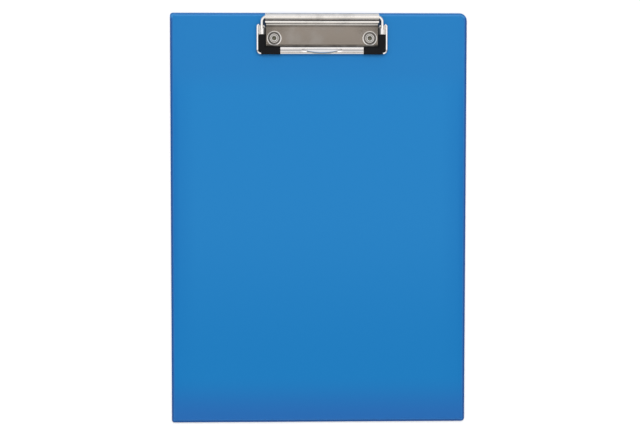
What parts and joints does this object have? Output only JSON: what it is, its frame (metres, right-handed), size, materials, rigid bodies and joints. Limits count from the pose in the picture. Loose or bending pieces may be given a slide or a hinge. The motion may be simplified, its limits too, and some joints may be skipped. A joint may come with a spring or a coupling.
{
  "type": "clipboard",
  "caption": "Flat clipboard with a film-covered board and a low sprung clip, whose folded frame lifts on a rolled barrel and grips sheets under its corner caps.",
  "frame": {"origin": "under the middle of the board, on the plane of its back, where it lies on a table", "axes": "+Y along the board towards the clip, +Z out of the board's face, +X to the right seen from the face"},
  "size_m": [0.23, 0.32, 0.008],
  "materials": {
    "grey_board": "matte grey pressed fibre board",
    "blue_film": "satin, fine grained vinyl film",
    "plated_sheet": "bright nickel plate on pressed steel",
    "plated_rivet": "bright nickel plate",
    "plated_wire": "bright nickel plate on spring wire",
    "black_cap": "satin black moulding"
  },
  "bodies": {
    "board": {"core_board": "grey_board", "front_cover": "blue_film", "back_cover": "blue_film", "clip_base_plate": "plated_sheet", "rivet_left": "plated_rivet", "rivet_right": "plated_rivet"},
    "clamp": {"clamp_frame": "plated_sheet", "spring_wire": "plated_wire", "corner_cap_left": "black_cap", "corner_cap_right": "black_cap"}
  },
  "joints": [
    {"name": "clamp_lift", "type": "hinge", "parent": "board", "child": "clamp", "pos_m": [0.0024, 0.1569, 0.0055], "axis": [-1, 0, 0], "range_deg": [0, 80], "stiffness_Nm_per_rad": 0.15, "springref_deg": -28.65}
  ]
}
